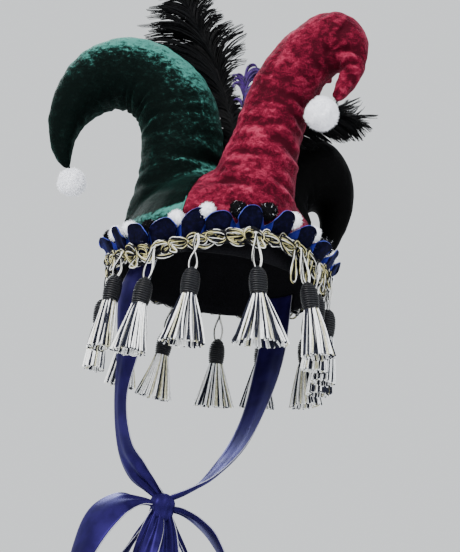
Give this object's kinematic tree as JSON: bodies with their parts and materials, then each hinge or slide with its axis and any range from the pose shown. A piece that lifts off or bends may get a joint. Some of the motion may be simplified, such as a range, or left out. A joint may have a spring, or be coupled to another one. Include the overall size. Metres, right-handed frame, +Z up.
{
  "type": "jester hat",
  "caption": "Soft jester hat with stuffed velvet horns, pompoms, a ruched ribbon and corded tassel trim, plumes and satin ties in a bow.",
  "frame": {"origin": "middle of the head opening, on the level of the rim, where the head sits", "axes": "+Z up out of the crown, -Y the side shown in the picture, +X to the right of that view"},
  "size_m": [0.3091, 0.2569, 0.7094],
  "materials": {
    "black_lining": "matt woven cotton",
    "green_velvet": "crushed velvet",
    "red_velvet": "crushed velvet",
    "black_velvet": "matt velvet",
    "navy_velvet": "velvet ribbon with satin edges",
    "navy_satin": "satin ribbon",
    "white_wool": "fluffy wool",
    "black_tinsel_wool": "fluffy wool with tinsel",
    "braid_cord": "twisted cotton cords in black, white and cream",
    "tassel_thread": "wound thread in black, white and cream",
    "black_feather": "ostrich plume",
    "violet_feather": "dyed curled feather"
  },
  "bodies": {
    "root": {"cap_lining_left": "black_lining", "cap_lining_front": "black_lining", "cap_lining_right": "black_lining", "horn_green": "green_velvet", "horn_red": "red_velvet", "horn_black": "black_velvet", "tip_pompom_green": "white_wool", "tip_pompom_red": "white_wool", "tip_pompom_black": "white_wool", "ribbon_ruche": "navy_velvet", "braid_trim": "braid_cord", "plume_tall": "black_feather", "plume_right": "black_feather", "feather_tuft": "violet_feather", "tie_left": "navy_satin", "tie_right": "navy_satin", "bow_knot": "navy_satin", "bow_loop_left": "navy_satin", "bow_loop_right": "navy_satin", "bow_tail_left": "navy_satin", "bow_tail_right": "navy_satin", "tassel_01": "tassel_thread", "tassel_02": "tassel_thread", "tassel_03": "tassel_thread", "tassel_04": "tassel_thread", "tassel_05": "tassel_thread", "tassel_06": "tassel_thread", "tassel_07": "tassel_thread", "tassel_08": "tassel_thread", "tassel_09": "tassel_thread", "tassel_10": "tassel_thread", "tassel_11": "tassel_thread", "tassel_12": "tassel_thread", "tassel_13": "tassel_thread", "tassel_14": "tassel_thread", "rim_pompom_01": "white_wool", "rim_pompom_02": "black_tinsel_wool", "rim_pompom_03": "black_tinsel_wool", "rim_pompom_04": "white_wool", "rim_pompom_05": "white_wool", "rim_pompom_06": "black_tinsel_wool", "rim_pompom_07": "white_wool", "rim_pompom_08": "black_tinsel_wool", "rim_pompom_09": "white_wool", "rim_pompom_10": "black_tinsel_wool", "rim_pompom_11": "white_wool", "rim_pompom_12": "black_tinsel_wool", "rim_pompom_13": "white_wool", "rim_pompom_14": "black_tinsel_wool", "rim_pompom_15": "white_wool", "rim_pompom_16": "black_tinsel_wool", "rim_pompom_17": "white_wool", "rim_pompom_18": "black_tinsel_wool", "rim_pompom_19": "white_wool", "rim_pompom_20": "black_tinsel_wool", "rim_pompom_21": "white_wool", "rim_pompom_22": "white_wool", "rim_pompom_23": "black_tinsel_wool", "rim_pompom_24": "white_wool"}
  },
  "joints": []
}
